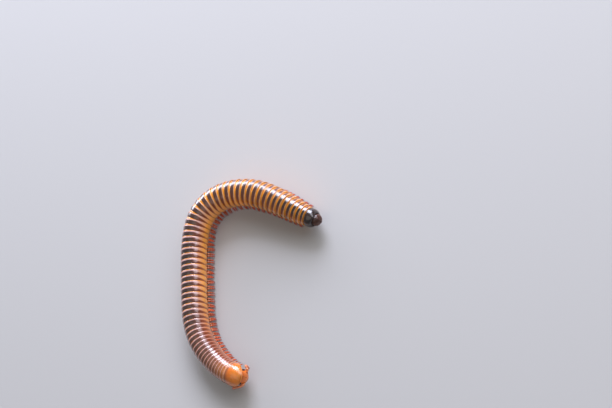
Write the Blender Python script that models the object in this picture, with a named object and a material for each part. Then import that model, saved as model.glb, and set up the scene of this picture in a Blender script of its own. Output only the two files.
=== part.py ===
"""A life-size millipede, standing on a floor with its body bent into a hook.

Lengths are in millimetres here, and become metres as each piece is made. A
distance along the body runs from the front of the head, 0, to the tip of the
tail, measured on the spine, the middle line of the body. Left and right are
the animal's own. The origin is on the floor under the middle of the figure.
"""

import math

import bmesh
import bpy
import numpy as np
from mathutils import Matrix, Vector

MM = 0.001

# The spine: its start, its first heading, and the degrees it turns in a millimetre
HEAD_PLACE = (-29.03, 0.20)
HEAD_TURN = 82.6
BENDS = [
    (0, -3.8), (6, -3.1), (12, -2.1), (18, -2.1), (24, -2.8), (30, -1.4),
    (38, 0.1), (46, -0.4), (54, -2.1), (60, -5.6), (66, -4.9), (72, -2.9),
    (80, -2.2), (88, -1.0), (96, 0.4), (106, 1.2),
]
SPINE_STEP = 0.25
SPINE_END = 108.0

# Half the body's thickness, and the degrees that its left flank is rolled up
BODY_RADIUS = [
    (0, 3.30), (4, 3.42), (8, 3.36), (12, 3.48), (20, 3.72), (30, 3.88),
    (52, 3.92), (64, 4.04), (82, 4.04), (92, 3.74), (97, 3.30), (101, 2.72),
]
ROLL = [(0, 6), (14, 11), (30, 4), (52, 4), (66, 8), (80, 10), (92, 5), (104, 0)]
BELLY_LIFT = 1.3
BELLY_FLAT = 0.55
BELLY_PRESS = 0.3
BODY_SIDES = 20

# Body rings, from the second, behind the collar plate, to the last
FIRST_RING, LAST_RING = 2, 58
RINGS_START = 7.0
RING_PITCH = [
    (2, 0.98), (8, 1.12), (14, 1.50), (18, 1.70), (34, 1.74), (40, 1.98),
    (48, 2.00), (55, 1.65), (58, 1.30),
]
RING_SINK = 0.945
HIND_STEP, FRONT_STEP = 0.03, 0.11
LENGTH_STARTS = [2, 7, 13, 18, 23, 28, 33, 38, 42, 46, 50, 54, 59]

# The gap between two nodes, and the thinner one round small pieces of the head
GAP = 0.3
SMALL_GAP = 0.15

# Legs: one pair a ring as far as this ring, then two, and none past the last
SINGLE_PAIR_RINGS = 4
LAST_LEG_RING = 56
ROOT_SHARES = (0.34, 0.67)
HIP_SHARES = (0.26, 0.75)
LEG_HALF = (0.34, 0.36, 0.31, 0.17)
FULL_LEG_PITCH = 1.7
LEAST_LEG_SCALE = 0.72
ROOT_SIDE, ROOT_DEPTH = 0.13, 0.52
HIP_SIDE, HIP_DROP = 0.34, 0.30
KNEE_SHARE, KNEE_HEIGHT = 0.74, 1.95
LEFT_REACH = [(0, 1.06), (52, 1.05), (58, 0.86), (74, 0.86), (82, 1.04), (104, 1.06)]
RIGHT_REACH = [(0, 1.10), (52, 1.12), (104, 1.10)]
WAVE_PAIRS = 13
WAVE_SWING = 0.5
WAVE_LIFT = 0.6
LIFTED_PAST = 0.6
FOOT_GATHER = 0.55

# Head: its middle, the degrees it hangs forward, and half sizes (side, along, up)
HEAD_AT, HEAD_HEIGHT = 3.10, 4.20
HEAD_TILT = 20.0
HEAD_HALF = (2.30, 1.85, 2.45)
CHIN_TAPER = 0.22

# Places in the head's own axes: to the left, to the back and up from its middle
CHEEK_HALF, CHEEK_PLACE = (0.62, 0.80, 1.20), (1.86, -0.20, -1.10)
EYE_HALF, EYE_PLACE = (0.30, 0.40, 0.52), (1.76, -0.20, 1.08)
LEFT_ANTENNA = [
    (1.45, -0.93, 0.55), (1.95, -1.42, 0.72), (2.58, -1.10, 0.82), (3.08, -0.45, 0.70),
    (3.32, -0.22, -0.05), (3.27, -0.42, -0.78), (3.08, -0.68, -1.40), (2.85, -0.92, -1.95),
]
RIGHT_ANTENNA = [
    (-1.45, -0.93, 0.55), (-1.95, -1.42, 0.72), (-2.50, -0.98, 0.72), (-2.92, -0.25, 0.45),
    (-3.20, 0.50, 0.05), (-3.45, 1.15, -0.45), (-3.62, 1.70, -1.00), (-3.65, 2.10, -1.50),
]
ANTENNA_HALF = (0.27, 0.31, 0.29, 0.31, 0.30, 0.31, 0.31, 0.23)
PIT_RADIUS = 0.50

# Lip plate under the head: its middle on the spine, its half sizes and flat top
LIP_PLATE_AT, LIP_PLATE_HEIGHT = 5.05, 2.45
LIP_PLATE_HALF = (1.70, 1.60, 1.15)
LIP_PLATE_TOP = 0.30

# Collar plate: distance along the body and share of the body's half thickness of
# its loops and of the neck inside it, and the sloping plane that cuts it below
COLLAR_LOOPS = [(1.30, 0.66), (1.70, 0.76), (2.40, 0.86), (3.40, 0.94), (4.60, 0.99), (6.85, 1.00)]
NECK_LOOPS = [(4.70, 0.72), (5.30, 0.80), (6.75, 0.84)]
COLLAR_RIM = 0.085
COLLAR_RIM_TILT = 34.4

# Tail: loops of the last ring from where the rings end, and its two valves
TAIL_LOOPS = [(0.15, 0.97), (0.90, 1.00), (1.70, 0.95), (2.30, 0.82), (2.55, 0.70)]
VALVE_HALF = (1.75, 1.55, 1.75)
VALVE_AT, VALVE_DROP = 2.85, 0.1

MATERIALS = {
    "ring_cuticle": ((0.100, 0.052, 0.036), 0.30),
    "collar_cuticle": ((0.600, 0.190, 0.040), 0.28),
    "head_cuticle": ((0.560, 0.180, 0.050), 0.30),
    "leg_cuticle": ((0.540, 0.150, 0.060), 0.35),
    "eye_lens": ((0.020, 0.015, 0.012), 0.12),
}


def along(table, distance):
    """The value of a table of (distance, value) pairs, straight between them."""
    places, values = zip(*table)
    return float(np.interp(distance, places, values))


def walk_spine():
    """Distances along the spine, with its places and headings there."""
    distances = np.arange(0.0, SPINE_END, SPINE_STEP)
    bends = np.radians([along(BENDS, d + SPINE_STEP / 2) for d in distances[:-1]])
    turned = np.concatenate([[0.0], np.cumsum(bends * SPINE_STEP)])
    headings = math.radians(HEAD_TURN) + turned
    middles = (headings[:-1] + headings[1:]) / 2
    across = np.concatenate([[0.0], np.cumsum(np.cos(middles) * SPINE_STEP)])
    upward = np.concatenate([[0.0], np.cumsum(np.sin(middles) * SPINE_STEP)])
    return distances, HEAD_PLACE[0] + across, HEAD_PLACE[1] + upward, headings


def ring_edges():
    """Where each ring begins, with the end of the last ring behind them."""
    edges = {FIRST_RING: RINGS_START}
    for ring in range(FIRST_RING, LAST_RING + 1):
        edges[ring + 1] = edges[ring] + along(RING_PITCH, ring)
    return edges


SPINE = walk_spine()
EDGES = ring_edges()


def station(distance, height=None, rolled=True):
    """Axes on the spine, in metres: X to the left, Y to the tail, Z to the back."""
    x, y, heading = (float(np.interp(distance, SPINE[0], column)) for column in SPINE[1:])
    z = BELLY_LIFT + along(BODY_RADIUS, distance) if height is None else height
    roll = math.radians(along(ROLL, distance)) if rolled else 0.0
    turn = Matrix.Rotation(heading - math.pi / 2, 4, "Z") @ Matrix.Rotation(-roll, 4, "Y")
    return Matrix.Translation(Vector((x, y, z)) * MM) @ turn


def spot(axes, left, up, tailward=0.0):
    """A place beside the spine, in metres, from millimetres in its axes."""
    return axes @ (Vector((left, tailward, up)) * MM)


def clear_scene():
    for item in list(bpy.data.objects):
        bpy.data.objects.remove(item, do_unlink=True)


def collection(name):
    made = bpy.data.collections.new(name)
    bpy.context.scene.collection.children.link(made)
    return made


def material(name, finish):
    """The finish of one named piece."""
    colour, roughness = MATERIALS[finish]
    made = bpy.data.materials.new(f"{name}_{finish}")
    made.use_nodes = True
    shader = made.node_tree.nodes["Principled BSDF"]
    shader.inputs["Base Color"].default_value = (*colour, 1.0)
    shader.inputs["Roughness"].default_value = roughness
    shader.inputs["Metallic"].default_value = 0.0
    made.diffuse_color = (*colour, 1.0)
    return made


def as_mesh(source, name, group):
    """A mesh object in place of a curve or of an object with modifiers."""
    bpy.context.view_layer.update()
    seen = source.evaluated_get(bpy.context.evaluated_depsgraph_get())
    mesh = bpy.data.meshes.new_from_object(seen)
    work = bmesh.new()
    work.from_mesh(mesh)
    bmesh.ops.remove_doubles(work, verts=work.verts, dist=0.000001)
    bmesh.ops.recalc_face_normals(work, faces=work.faces)
    work.to_mesh(mesh)
    work.free()
    made = bpy.data.objects.new(name, mesh)
    made.matrix_world = source.matrix_world.copy()
    group.objects.link(made)
    bpy.data.objects.remove(source, do_unlink=True)
    return made


def path(name, places, half_widths, group, turn=0.0, outline=None):
    """A closed tube along places in metres: four-sided where turned, round, or outlined."""
    curve = bpy.data.curves.new(name, "CURVE")
    curve.dimensions = "3D"
    curve.twist_mode = "Z_UP" if turn or outline else "MINIMUM"
    curve.use_fill_caps = True
    if outline is None:
        curve.bevel_depth = MM
        curve.bevel_resolution = 0 if turn else 2
    else:
        curve.bevel_mode = "OBJECT"
        curve.bevel_object = outline
    spline = curve.splines.new("POLY")
    spline.points.add(len(places) - 1)
    for point, place, half in zip(spline.points, places, half_widths):
        point.co = (*place, 1.0)
        point.radius = half
        point.tilt = turn
    tube = bpy.data.objects.new(name, curve)
    group.objects.link(tube)
    return as_mesh(tube, name, group)


def body_outline(group):
    """The body's cross section, a circle a millimetre in radius with a flatter belly."""
    curve = bpy.data.curves.new("body_outline", "CURVE")
    curve.dimensions = "2D"
    spline = curve.splines.new("POLY")
    spline.points.add(BODY_SIDES - 1)
    for index, point in enumerate(spline.points):
        angle = 2 * math.pi * (index + 0.5) / BODY_SIDES
        up = math.cos(angle)
        if up < -BELLY_FLAT:
            up = -BELLY_FLAT + (up + BELLY_FLAT) * (1 - BELLY_PRESS)
        point.co = (math.sin(angle) * MM, up * MM, 0.0, 1.0)
    spline.use_cyclic_u = True
    outline = bpy.data.objects.new("body_outline", curve)
    group.objects.link(outline)
    return outline


def body_length(name, loops, outline, group):
    """A straight tube through loops of (distance, half thickness), bent on to the spine."""
    places = [Vector((0.0, distance * MM, 0.0)) for distance, half in loops]
    halves = [half for distance, half in loops]
    solid = path(name, places, halves, group, outline=outline)
    for corner in solid.data.vertices:
        axes = station(corner.co.y / MM)
        corner.co = axes @ Vector((corner.co.x, 0.0, corner.co.z))
    return solid


def ring_loops(first, last):
    """Two loops for each ring, narrow at its front and wide at its hind edge."""
    loops = []
    for ring in range(first, last + 1):
        front = EDGES[ring] + (GAP / 2 if ring == first else FRONT_STEP)
        hind = EDGES[ring + 1] - (GAP / 2 if ring == last else HIND_STEP)
        loops.append((front, RING_SINK * along(BODY_RADIUS, front)))
        loops.append((hind, along(BODY_RADIUS, hind)))
    return loops


def leg_pairs():
    """Each pair of legs: its ring, number, root's and hip's places and ring's middle."""
    pairs = []
    for ring in range(FIRST_RING, LAST_LEG_RING + 1):
        front, pitch = EDGES[ring], EDGES[ring + 1] - EDGES[ring]
        shares = zip(ROOT_SHARES, HIP_SHARES)
        if ring <= SINGLE_PAIR_RINGS:
            shares = [(0.5, 0.5)]
        for root, hip in shares:
            pairs.append((ring, len(pairs), front + root * pitch, front + hip * pitch, front + pitch / 2))
    return pairs


def leg(name, number, root_at, hip_at, middle, pitch, side, group):
    """One leg, from inside the belly by its hip and knee to a flat foot."""
    half = along(BODY_RADIUS, hip_at)
    phase = 2 * math.pi * number / WAVE_PAIRS
    scale = max(LEAST_LEG_SCALE, min(1.0, pitch / FULL_LEG_PITCH))
    swing = WAVE_SWING * scale * math.sin(phase) + FOOT_GATHER * (middle - hip_at)
    lift = WAVE_LIFT * max(0.0, -math.cos(phase) - LIFTED_PAST) / (1 - LIFTED_PAST)
    reach = half * along(LEFT_REACH if side > 0 else RIGHT_REACH, hip_at)
    belly = -half * (BELLY_FLAT + (1 - BELLY_FLAT) * (1 - BELLY_PRESS))
    places = [
        spot(station(root_at), side * ROOT_SIDE * half, -ROOT_DEPTH * half),
        spot(station(hip_at), side * HIP_SIDE * half, belly - HIP_DROP),
        spot(station(hip_at + swing / 2, KNEE_HEIGHT + lift, rolled=False), side * KNEE_SHARE * reach, 0.0),
        spot(station(hip_at + swing, lift, rolled=False), side * reach, 0.0),
    ]
    halves = [width * scale for width in LEG_HALF]
    tube = path(name, places, halves, group, turn=math.pi / 4)
    for corner in tube.data.vertices:
        if (corner.co - places[-1]).length < 1.5 * halves[-1] * MM:
            corner.co.z = places[-1].z
    return tube


def lobe(name, half_sizes, axes, group, cuts=(), segments=12, grow=0.0):
    """A rounded solid in the given axes, cut flat by planes given in the same axes."""
    work = bmesh.new()
    bmesh.ops.create_uvsphere(work, u_segments=segments, v_segments=segments // 2 + 2, radius=1.0)
    for corner in work.verts:
        corner.co = Vector(c * (half + grow) * MM for c, half in zip(corner.co, half_sizes))
    for offset, normal in cuts:
        way = Vector(normal)
        shift = way * (offset + grow) * MM
        parts = work.verts[:] + work.edges[:] + work.faces[:]
        cut = bmesh.ops.bisect_plane(work, geom=parts, plane_co=shift, plane_no=way, clear_outer=True)
        rim = [part for part in cut["geom_cut"] if isinstance(part, bmesh.types.BMEdge)]
        bmesh.ops.edgeloop_fill(work, edges=rim)
    bmesh.ops.recalc_face_normals(work, faces=work.faces)
    mesh = bpy.data.meshes.new(name)
    work.to_mesh(mesh)
    work.free()
    made = bpy.data.objects.new(name, mesh)
    made.matrix_world = axes
    group.objects.link(made)
    return made


def combine(name, solid, others, operation, group):
    """The solid joined to other solids, or cut by them, kept as one closed body."""
    tools = collection(f"{name}_{operation.lower()}")
    for other in others:
        for holder in list(other.users_collection):
            holder.objects.unlink(other)
        tools.objects.link(other)
    step = solid.modifiers.new(operation.title(), "BOOLEAN")
    step.operation = operation
    step.operand_type = "COLLECTION"
    step.collection = tools
    step.solver = "EXACT"
    made = as_mesh(solid, name, group)
    for other in list(tools.objects):
        bpy.data.objects.remove(other, do_unlink=True)
    bpy.data.collections.remove(tools)
    keep_largest(made.data)
    return made


def keep_largest(mesh):
    """Only the largest closed surface of a mesh stays."""
    work = bmesh.new()
    work.from_mesh(mesh)
    left = set(work.verts)
    surfaces = []
    while left:
        reached = {left.pop()}
        edge = list(reached)
        while edge:
            near = {link.other_vert(corner) for corner in edge for link in corner.link_edges}
            edge = list(near - reached)
            reached |= near
        left -= reached
        surfaces.append(reached)
    largest = max(surfaces, key=len)
    scraps = [corner for corner in work.verts if corner not in largest]
    bmesh.ops.delete(work, geom=scraps, context="VERTS")
    work.to_mesh(mesh)
    work.free()


def finish(made, name, finish_name):
    """The piece's name, material and shading."""
    made.name = name
    made.data.name = name
    made.data.materials.clear()
    made.data.materials.append(material(name, finish_name))
    made.data.shade_smooth()
    made.data.set_sharp_from_angle(angle=math.radians(35))
    return made


def trunk(outline, group):
    """The lengths of body rings, each with its own legs fused on."""
    pairs = leg_pairs()
    for first, after in zip(LENGTH_STARTS, LENGTH_STARTS[1:]):
        name = f"rings_{first:02d}_{after - 1:02d}"
        solid = body_length(name, ring_loops(first, after - 1), outline, group)
        legs = []
        for ring, number, root_at, hip_at, middle in pairs:
            if first <= ring < after:
                pitch = EDGES[ring + 1] - EDGES[ring]
                for side in (1, -1):
                    legs.append(leg(f"leg_{number}", number, root_at, hip_at, middle, pitch, side, group))
        finish(combine(name, solid, legs, "UNION", group), name, "ring_cuticle")


def head_axes(place=(0.0, 0.0, 0.0), side=1):
    """Axes of the head that hangs forward, or of a place in it on one side."""
    left, back, up = place
    hang = Matrix.Rotation(math.radians(HEAD_TILT), 4, "X")
    shift = Matrix.Translation(Vector((side * left, back, up)) * MM)
    return station(HEAD_AT, HEAD_HEIGHT, rolled=False) @ hang @ shift


def capsule(name, group, grow=0.0):
    """The head's smooth shell, narrower at the chin."""
    made = lobe(name, HEAD_HALF, head_axes(), group, segments=20, grow=grow)
    for corner in made.data.vertices:
        low = max(0.0, -corner.co.z / (HEAD_HALF[2] * MM))
        corner.co.x *= 1 - CHIN_TAPER * low * low
    return made


def lip_plate(name, group, grow=0.0):
    axes = station(LIP_PLATE_AT, LIP_PLATE_HEIGHT, rolled=False)
    return lobe(name, LIP_PLATE_HALF, axes, group, [(LIP_PLATE_TOP, (0, 0, 1))], grow=grow)


def cheeks(group, grow=0.0):
    return [lobe("cheek", CHEEK_HALF, head_axes(CHEEK_PLACE, side), group, grow=grow) for side in (1, -1)]


def collar(outline, group, cutters):
    """The collar plate, a sloping saddle over the back of the head, and the neck in it."""
    loops = [(distance, share * along(BODY_RADIUS, distance)) for distance, share in COLLAR_LOOPS]
    solid = body_length("collum", loops, outline, group)
    middle = (COLLAR_LOOPS[0][0] + COLLAR_LOOPS[-1][0]) / 2
    half = along(BODY_RADIUS, middle)
    work = bmesh.new()
    bmesh.ops.create_cube(work, size=4 * half * MM)
    mesh = bpy.data.meshes.new("collar_cut")
    work.to_mesh(mesh)
    work.free()
    below = bpy.data.objects.new("collar_cut", mesh)
    rim = Matrix.Translation(Vector((0.0, 0.0, COLLAR_RIM)) * half * MM)
    lean = Matrix.Rotation(math.radians(-COLLAR_RIM_TILT), 4, "X")
    drop = Matrix.Translation(Vector((0.0, 0.0, -2.0)) * half * MM)
    below.matrix_world = station(middle, rolled=False) @ rim @ lean @ drop
    cutters.objects.link(below)
    saddle = combine("collum", solid, [below], "DIFFERENCE", group)
    loops = [(distance, share * along(BODY_RADIUS, distance)) for distance, share in NECK_LOOPS]
    neck = body_length("neck", loops, outline, cutters)
    joined = combine("collum", saddle, [neck], "UNION", group)
    seats = cheeks(cutters, GAP) + [capsule("head_seat", cutters, GAP), lip_plate("plate_seat", cutters, GAP)]
    finish(combine("collum", joined, seats, "DIFFERENCE", group), "collum", "collar_cuticle")


def head(group, cutters):
    """The head capsule, with its cheeks, lip plate, eyes and antennae seated in it."""
    seats = cheeks(cutters, SMALL_GAP) + [lip_plate("plate_seat", cutters, GAP)]
    for side, cheek, word in zip((1, -1), cheeks(group), ("left", "right")):
        finish(cheek, f"mandible_{word}", "head_cuticle")
        eye_axes = head_axes(EYE_PLACE, side)
        eye = lobe(f"eye_{word}", EYE_HALF, eye_axes, group, segments=10)
        finish(eye, f"eye_{word}", "eye_lens")
        seats.append(lobe("eye_seat", EYE_HALF, eye_axes, cutters, segments=10, grow=SMALL_GAP))
        joints = LEFT_ANTENNA if side > 0 else RIGHT_ANTENNA
        seats.append(lobe("pit", (PIT_RADIUS,) * 3, head_axes(joints[0]), cutters, segments=10))
        places = [head_axes(joint).translation for joint in joints]
        feeler = path(f"antenna_{word}", places, ANTENNA_HALF, group)
        finish(feeler, f"antenna_{word}", "leg_cuticle")
    finish(combine("head", capsule("head", group), seats, "DIFFERENCE", group), "head", "head_cuticle")
    beside = cheeks(cutters, SMALL_GAP)
    plate = combine("gnathochilarium", lip_plate("plate", group), beside, "DIFFERENCE", group)
    finish(plate, "gnathochilarium", "head_cuticle")


def tail(outline, group):
    """The last ring and the two valves that close it."""
    end = EDGES[LAST_RING + 1]
    half = along(BODY_RADIUS, end)
    loops = [(end + distance, share * half) for distance, share in TAIL_LOOPS]
    finish(body_length("telson", loops, outline, group), "telson", "ring_cuticle")
    front = VALVE_AT - TAIL_LOOPS[-1][0] - GAP
    for side, word in ((1, "left"), (-1, "right")):
        axes = station(end + VALVE_AT, BELLY_LIFT + half - VALVE_DROP, rolled=False)
        cuts = [(-GAP / 2, (-side, 0, 0)), (front, (0, -1, 0))]
        valve = lobe(f"anal_valve_{word}", VALVE_HALF, axes, group, cuts)
        finish(valve, f"anal_valve_{word}", "ring_cuticle")


def build():
    clear_scene()
    group = collection("millipede")
    cutters = collection("cutters")
    outline = body_outline(cutters)
    head(group, cutters)
    collar(outline, group, cutters)
    trunk(outline, group)
    tail(outline, group)
    bpy.data.objects.remove(outline, do_unlink=True)
    bpy.context.view_layer.update()


build()
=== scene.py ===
"""The looks of a life-size millipede that stands on a floor in a hook-shaped bend."""

import math

import bmesh
import bpy
import numpy as np
from mathutils import Matrix, Vector


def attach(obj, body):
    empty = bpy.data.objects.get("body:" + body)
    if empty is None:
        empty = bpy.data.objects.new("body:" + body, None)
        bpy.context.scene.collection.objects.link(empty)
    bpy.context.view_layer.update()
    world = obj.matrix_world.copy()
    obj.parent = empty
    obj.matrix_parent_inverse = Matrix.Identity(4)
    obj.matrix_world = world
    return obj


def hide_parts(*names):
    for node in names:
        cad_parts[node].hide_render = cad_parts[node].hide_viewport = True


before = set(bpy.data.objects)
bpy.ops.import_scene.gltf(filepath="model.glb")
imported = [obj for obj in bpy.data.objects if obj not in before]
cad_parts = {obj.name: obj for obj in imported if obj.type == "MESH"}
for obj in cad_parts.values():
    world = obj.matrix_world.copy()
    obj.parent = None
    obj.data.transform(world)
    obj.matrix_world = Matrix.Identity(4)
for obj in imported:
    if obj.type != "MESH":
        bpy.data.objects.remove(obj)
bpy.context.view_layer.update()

MM = 0.001


# Body rings
# Fifty-seven short tubes of chalky, glossy chitin. The narrow front of each
# slides into the wide hind edge of the one ahead, so that on the outside of a
# bend more of the narrow orange part shows. Every ring is stiff.

# The spine in millimetres and degrees: where its head end lies and points, and then,
# by distance along it, its bend a millimetre, the body's half width and its roll
HEAD_PLACE = (-29.03, 0.20)
HEAD_TURN = 82.6
BENDS = [
    (0, -3.8), (6, -3.1), (12, -2.1), (18, -2.1), (24, -2.8), (30, -1.4),
    (38, 0.1), (46, -0.4), (54, -2.1), (60, -5.6), (66, -4.9), (72, -2.9),
    (80, -2.2), (88, -1.0), (96, 0.4), (106, 1.2),
]
SPINE_STEP, SPINE_END = 0.25, 108.0
BODY_RADIUS = [
    (0, 3.30), (4, 3.42), (8, 3.36), (12, 3.48), (20, 3.72), (30, 3.88),
    (52, 3.92), (64, 4.04), (82, 4.04), (92, 3.74), (97, 3.30), (101, 2.72),
]
ROLL = [(0, 6), (14, 11), (30, 4), (52, 4), (66, 8), (80, 10), (92, 5), (104, 0)]
BELLY_LIFT = 1.3
BELLY_FLAT, BELLY_PRESS = 0.55, 0.3

FIRST_RING, LAST_RING = 2, 58
RINGS_START = 7.0
RING_PITCH = [
    (2, 0.98), (8, 1.12), (14, 1.50), (18, 1.70), (34, 1.74), (40, 1.98),
    (48, 2.00), (55, 1.65), (58, 1.30),
]
LENGTH_STARTS = [2, 7, 13, 18, 23, 28, 33, 38, 42, 46, 50, 54, 59]

# The hidden sleeve: millimetres ahead of the ring's front, share of the body's radius
SLEEVE_OUTSIDE = [(0.95, 0.880), (0.70, 0.910), (0.40, 0.932), (0.15, 0.947)]
SLEEVE_INSIDE = [(0.40, 0.884), (0.92, 0.855)]
# The ring from its front to its hind edge, with the groove, the swell and the lip
RING_OUTSIDE = [
    (0.00, 0.953), (0.07, 0.957), (0.125, 0.958), (0.150, 0.949), (0.175, 0.956),
    (0.205, 0.971), (0.28, 0.981), (0.42, 0.989), (0.58, 0.995), (0.74, 0.999),
    (0.86, 1.001), (0.93, 1.002), (0.975, 1.000), (0.997, 0.992), (1.000, 0.982),
]
RING_INSIDE = [(0.985, 0.973), (0.80, 0.963), (0.30, 0.930), (0.00, 0.902)]
# Shorter rings, as behind the head and by the tail, have a shallower groove, swell and lip
FULL_RELIEF_PITCH = 1.7
BACK_STEP, FLANK_STEP, BELLY_STEP = 2.75, 1.5, 3.0
FLANK_START, FLANK_END = 55.0, 130.0
# The fine grooves along the flank, and where they rise and fall: degrees from the
# middle of the back, and shares of the ring
STRIA_DEGREES, STRIA_DEPTH, STRIA_SHARPNESS = 6.0, 0.011, 3
STRIA_ROUND = ((58, 72), (122, 136))
STRIA_ALONG = ((0.20, 0.30), (0.94, 0.99))
PORE_ANGLE, PORE_SHARE = 78.0, 0.46
FIRST_PORE_RING, NO_PORE = 6, 9.0


def along(table, distance):
    places, values = zip(*table)
    return np.interp(distance, places, values)


def walk_spine():
    """Distances along the spine, with its places and headings there."""
    distances = np.arange(0.0, SPINE_END, SPINE_STEP)
    bends = np.radians(along(BENDS, distances[:-1] + SPINE_STEP / 2))
    turned = np.concatenate([[0.0], np.cumsum(bends * SPINE_STEP)])
    headings = math.radians(HEAD_TURN) + turned
    middles = (headings[:-1] + headings[1:]) / 2
    across = np.concatenate([[0.0], np.cumsum(np.cos(middles) * SPINE_STEP)])
    upward = np.concatenate([[0.0], np.cumsum(np.sin(middles) * SPINE_STEP)])
    return distances, HEAD_PLACE[0] + across, HEAD_PLACE[1] + upward, headings


SPINE = walk_spine()
EDGES = {FIRST_RING: RINGS_START}
for ring in range(FIRST_RING, LAST_RING + 1):
    EDGES[ring + 1] = EDGES[ring] + along(RING_PITCH, ring)
BODY_END = EDGES[LAST_RING + 1]


def station(distance, height=None, rolled=True):
    """Axes on the spine, in metres: X to the left, Y to the tail, Z to the back."""
    x, y, heading = (np.interp(distance, SPINE[0], column) for column in SPINE[1:])
    z = BELLY_LIFT + along(BODY_RADIUS, distance) if height is None else height
    roll = math.radians(along(ROLL, distance)) if rolled else 0.0
    turn = Matrix.Rotation(heading - math.pi / 2, 4, "Z") @ Matrix.Rotation(-roll, 4, "Y")
    return np.array(Matrix.Translation(Vector((x, y, z)) * MM) @ turn)


def place(axes, points):
    """Points in millimetres in a station's axes, as places in metres."""
    points = np.asarray(points, float) * MM
    return points @ axes[:3, :3].T + axes[:3, 3]


def soft_step(value, low, high):
    share = np.clip((np.asarray(value, float) - low) / (high - low), 0.0, 1.0)
    return share * share * (3 - 2 * share)


def loft(rows, marks, hoop=False):
    """A closed skin over rows of points, each row a closed loop: points, faces, marks."""
    rows = np.asarray(rows, float)
    count, around = rows.shape[:2]
    here = np.arange(count if hoop else count - 1)[:, None] * around
    there = (here + around) % (count * around)
    step = np.arange(around)[None, :]
    turn = (step + 1) % around
    corners = [here + step, here + turn, there + turn, there + step]
    faces = np.stack(corners, -1).reshape(-1, 4).tolist()
    if not hoop:
        faces.append(list(range(around))[::-1])
        faces.append(list(range((count - 1) * around, count * around)))
    marks = {
        name: np.broadcast_to(values, (count, around)).ravel() for name, values in marks.items()
    }
    return rows.reshape(-1, 3), faces, marks


def piece(name, skins, finish, slot, *nodes):
    """One mesh object from skins, with its finish, on the body and in place of its node."""
    points, faces, shift = [], [], 0
    for skin_points, skin_faces, skin_marks in skins:
        points.append(skin_points)
        faces.extend([[corner + shift for corner in face] for face in skin_faces])
        shift += len(skin_points)
    mesh = bpy.data.meshes.new(name)
    mesh.from_pydata(np.concatenate(points), [], faces)
    for mark in skins[0][2]:
        values = np.concatenate([skin_marks[mark] for _, _, skin_marks in skins])
        attribute = mesh.attributes.new(mark, "FLOAT", "POINT")
        attribute.data.foreach_set("value", values.astype(np.float32))
    mesh.shade_smooth()
    mesh.materials.append(finish)
    made = bpy.data.objects.new(name, mesh)
    bpy.context.scene.collection.objects.link(made)
    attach(made, "root")
    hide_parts(*nodes)


def body_outline(angles):
    """Side and height of the body's outline, a unit circle with a flatter belly."""
    side, up = np.sin(angles), np.cos(angles)
    low = up < -BELLY_FLAT
    up = np.where(low, -BELLY_FLAT + (up + BELLY_FLAT) * (1 - BELLY_PRESS), up)
    return side, up


half_turn = np.concatenate([
    np.arange(0.0, FLANK_START, BACK_STEP),
    np.arange(FLANK_START, FLANK_END, FLANK_STEP),
    np.arange(FLANK_END, 180.0, BELLY_STEP),
])
RING_DEGREES = np.concatenate([half_turn, 360.0 - half_turn[:0:-1]])
FROM_BACK = np.minimum(RING_DEGREES, 360.0 - RING_DEGREES)
tones = np.random.default_rng(58).uniform(-1.0, 1.0, LAST_RING + 2)


def ring_skin(ring):
    """One ring as a stiff thick-walled tube, grooved along its flanks."""
    pitch = EDGES[ring + 1] - EDGES[ring]
    middle = EDGES[ring] + pitch / 2
    relief = min(1.0, pitch / FULL_RELIEF_PITCH)
    profile = [(-ahead / pitch, share) for ahead, share in SLEEVE_OUTSIDE]
    profile += [(share, 1 - (1 - half) * relief) for share, half in RING_OUTSIDE] + RING_INSIDE
    profile += [(-ahead / pitch, share) for ahead, share in SLEEVE_INSIDE]
    outside = len(SLEEVE_OUTSIDE) + len(RING_OUTSIDE)
    side, up = body_outline(np.radians(RING_DEGREES))
    flank = soft_step(FROM_BACK, *STRIA_ROUND[0]) * (1 - soft_step(FROM_BACK, *STRIA_ROUND[1]))
    stria = (np.cos(2 * math.pi * FROM_BACK / STRIA_DEGREES) * 0.5 + 0.5) ** STRIA_SHARPNESS
    rows, shares = [], []
    for index, (share, half) in enumerate(profile):
        reach = half * along(BODY_RADIUS, middle + (share - 0.5) * pitch)
        grooved = (
            soft_step(share, *STRIA_ALONG[0]) * (1 - soft_step(share, *STRIA_ALONG[1]))
            * (index < outside)
        )
        reach = reach * (1 - STRIA_DEPTH * grooved * flank * stria)
        run = np.full_like(side, (share - 0.5) * pitch)
        rows.append(np.stack([side * reach, run, up * reach], -1))
        shares.append(share)
    shares = np.array(shares)[:, None]
    reach = along(BODY_RADIUS, middle)
    pore_along = (shares - PORE_SHARE) * pitch
    pore_round = np.radians(FROM_BACK - PORE_ANGLE)[None, :] * reach
    pore = np.hypot(pore_along, pore_round) if ring >= FIRST_PORE_RING else NO_PORE
    marks = {
        "ring_share": shares,
        "back_to_belly": FROM_BACK / 180.0,
        "head_to_tail": (middle + (shares - 0.5) * pitch) / BODY_END,
        "ring_tone": tones[ring],
        "pore_distance": pore,
    }
    return loft(place(station(middle), rows), marks, hoop=True)


def linear(code):
    """An sRGB hex colour as linear red, green, blue and alpha."""
    parts = [int(code[i:i + 2], 16) / 255 for i in (1, 3, 5)]
    return (*[c / 12.92 if c <= 0.04045 else ((c + 0.055) / 1.055) ** 2.4 for c in parts], 1.0)


def node(tree, kind, settings=None, links=None):
    """Adds a node, with values on its own sockets or properties and links into it."""
    made = tree.nodes.new("ShaderNode" + kind)
    fill(made, settings or {})
    link(tree, made, links or {})
    return made


def fill(made, settings):
    """Sets values on a node's own sockets, or its properties."""
    for key, value in settings.items():
        if isinstance(key, int) or key in made.inputs:
            made.inputs[key].default_value = value
        else:
            setattr(made, key, value)


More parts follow.
